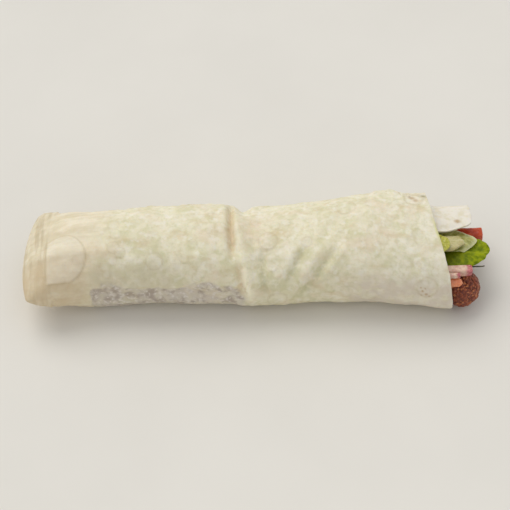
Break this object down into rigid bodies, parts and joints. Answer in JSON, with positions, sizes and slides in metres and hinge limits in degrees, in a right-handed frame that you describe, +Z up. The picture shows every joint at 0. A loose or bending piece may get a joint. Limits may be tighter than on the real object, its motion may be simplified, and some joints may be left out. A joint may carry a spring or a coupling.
{
  "type": "cig kofte wrap",
  "caption": "Long soft flatbread wrap, pinched shut at its far end and open at the near one, with spiced bulgur kofte, lettuce, tomato and radish showing at its slanted mouth.",
  "frame": {"origin": "middle of the wrap's length and width, on the surface it lies on", "axes": "+X along the wrap towards its open mouth, -Y the front, which faces the viewer, +Z up"},
  "size_m": [0.3079, 0.0839, 0.0561],
  "materials": {
    "lavash": "soft unbleached flatbread, floury and matte, faintly translucent",
    "kofte": "moist rough bulgur paste",
    "lettuce": "waxy fresh leaf",
    "pale_lettuce": "crisp pale leaf and rib",
    "yellow_lettuce": "crinkled heart leaf",
    "radish": "wet white flesh with pink skin",
    "tomato_flesh": "moist cut flesh",
    "tomato_red": "smooth skin and wet flesh",
    "stem": "thin dark herb stem"
  },
  "bodies": {
    "root": {"lavash": "lavash", "kofte": "kofte", "salad": "lettuce", "lettuce_green": "lettuce", "lettuce_pale": "pale_lettuce", "lettuce_frill": "yellow_lettuce", "lettuce_rib": "pale_lettuce", "radish_long": "radish", "radish_short": "radish", "tomato_front": "tomato_flesh", "tomato_back": "tomato_red", "herb_stem": "stem"}
  },
  "joints": []
}
